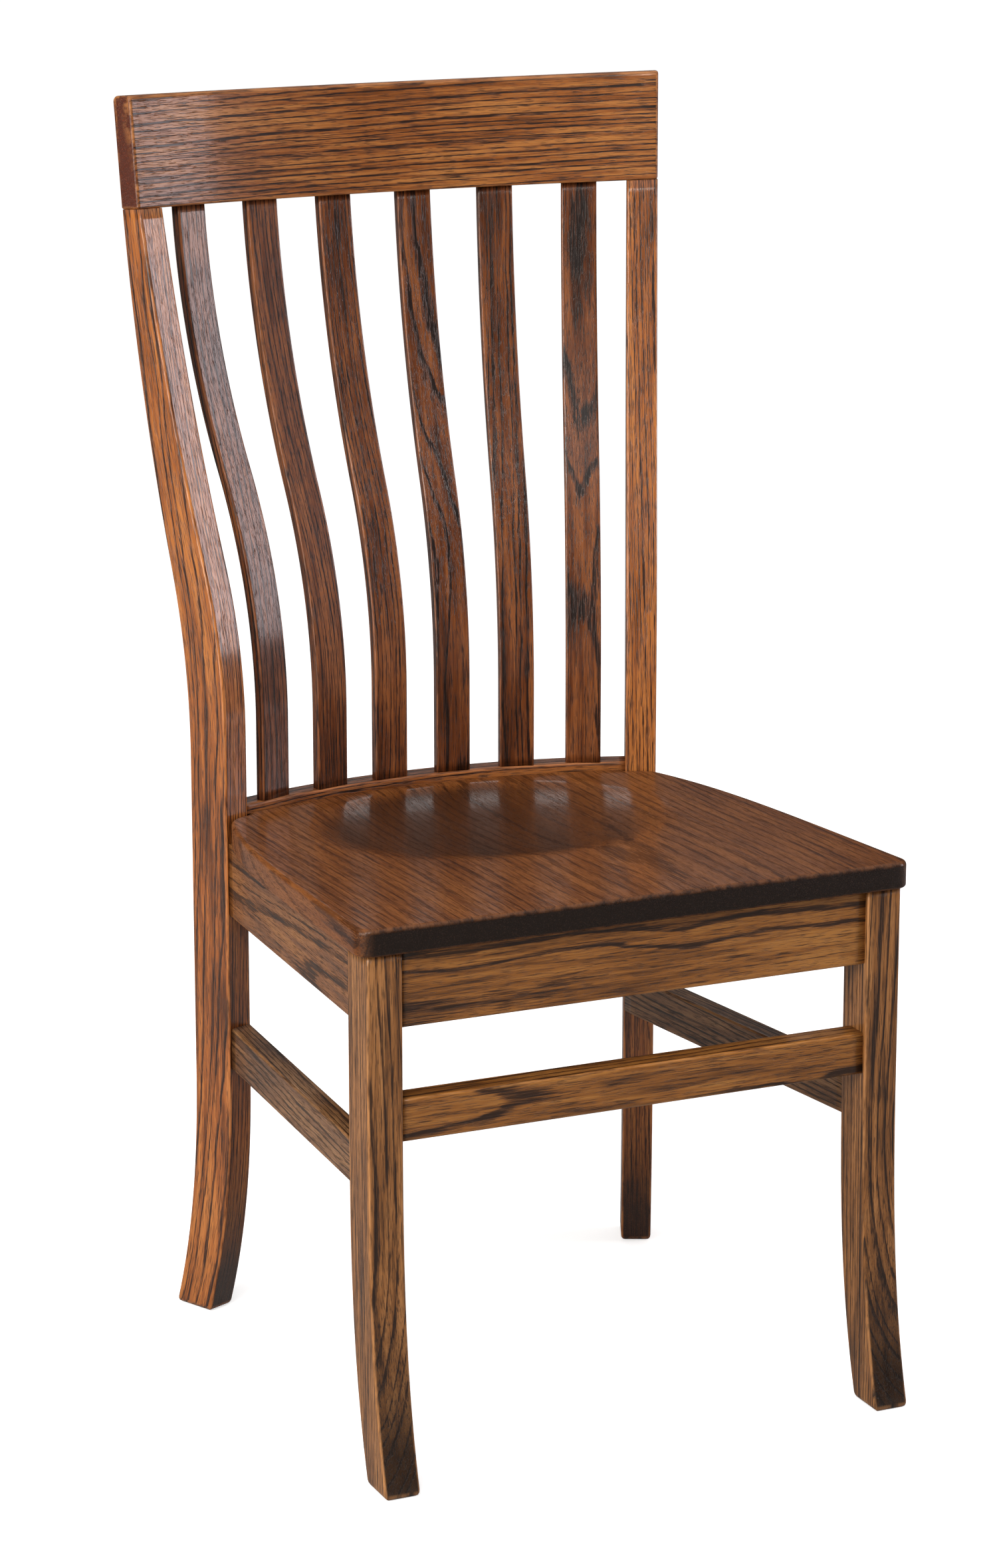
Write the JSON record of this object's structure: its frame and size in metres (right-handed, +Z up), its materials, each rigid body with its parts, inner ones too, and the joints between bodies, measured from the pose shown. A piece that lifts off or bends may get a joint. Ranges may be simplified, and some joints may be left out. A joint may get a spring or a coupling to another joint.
{
  "type": "dining chair",
  "caption": "Wooden dining chair with a scooped plank seat, a curved slatted back, swept legs and stretchers on the front and sides.",
  "frame": {"origin": "on the floor at the centre of the chair's outline", "axes": "+Z up, the chair faces -Y, +X is to the right seen from the front"},
  "size_m": [0.5, 0.5815, 1.0443],
  "materials": {
    "oak": "satin",
    "oak_seat": "satin",
    "oak_hidden": "matte",
    "screw_steel": "satin"
  },
  "bodies": {
    "root": {"left_rear_post": "oak", "right_rear_post": "oak", "crest_rail": "oak", "back_slat_1": "oak", "back_slat_2": "oak", "back_slat_3": "oak", "back_slat_4": "oak", "back_slat_5": "oak", "back_slat_6": "oak", "rear_rail": "oak", "seat": "oak_seat", "left_front_leg": "oak", "right_front_leg": "oak", "front_apron": "oak", "left_side_apron": "oak", "right_side_apron": "oak", "front_stretcher": "oak", "left_side_stretcher": "oak", "right_side_stretcher": "oak", "corner_block_front_left": "oak_hidden", "corner_block_front_right": "oak_hidden", "corner_block_rear_left": "oak_hidden", "corner_block_rear_right": "oak_hidden", "corner_block_screws": "screw_steel", "seat_screws": "screw_steel", "crest_dowels": "oak_hidden"}
  },
  "joints": []
}
